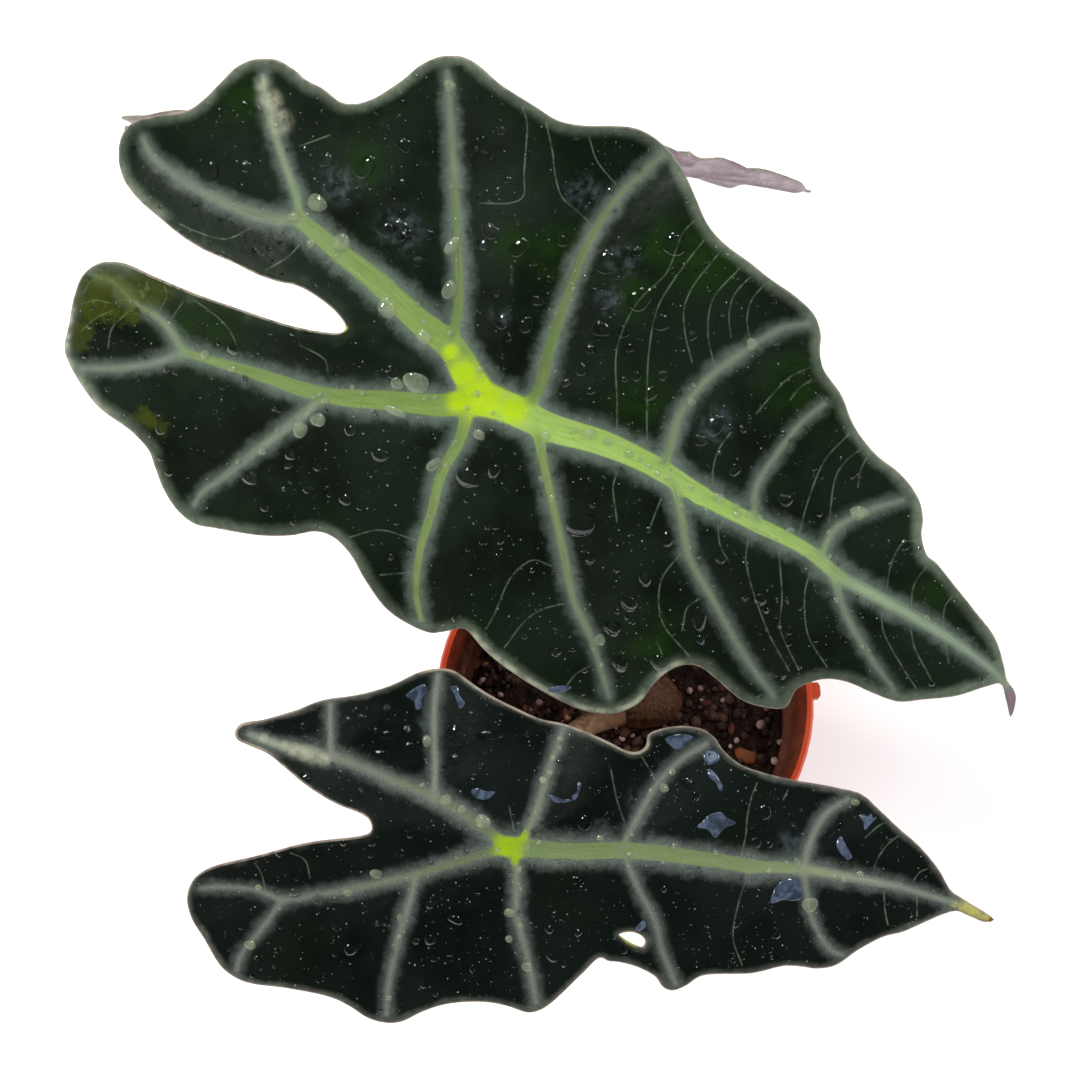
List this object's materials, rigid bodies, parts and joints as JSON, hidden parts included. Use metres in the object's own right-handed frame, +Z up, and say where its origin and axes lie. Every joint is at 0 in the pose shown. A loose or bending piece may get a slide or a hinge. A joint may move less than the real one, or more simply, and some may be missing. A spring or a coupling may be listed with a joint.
{
  "type": "potted polly alocasia",
  "caption": "Alocasia houseplant in a round plastic nursery pot, with arrow-shaped, deeply ribbed dark leaves with waved edges on slim stalks.",
  "frame": {"origin": "centre of the pot's flat underside, on the floor it stands on", "axes": "+Z up along the pot's axis, +X to the right and +Y to the back as the plant is seen from its front"},
  "size_m": [0.2539, 0.2825, 0.2758],
  "materials": {
    "pot": "satin",
    "soil": "matte",
    "corm": "matte",
    "petiole": "satin",
    "petiole_foot": "satin",
    "blade": "satin"
  },
  "bodies": {
    "root": {"pot": "pot", "soil": "soil", "corm": "corm", "petiole_large": "petiole", "petiole_small": "petiole_foot", "petiole_back": "petiole", "blade_large": "blade", "blade_small": "blade", "blade_back": "blade"}
  },
  "joints": []
}
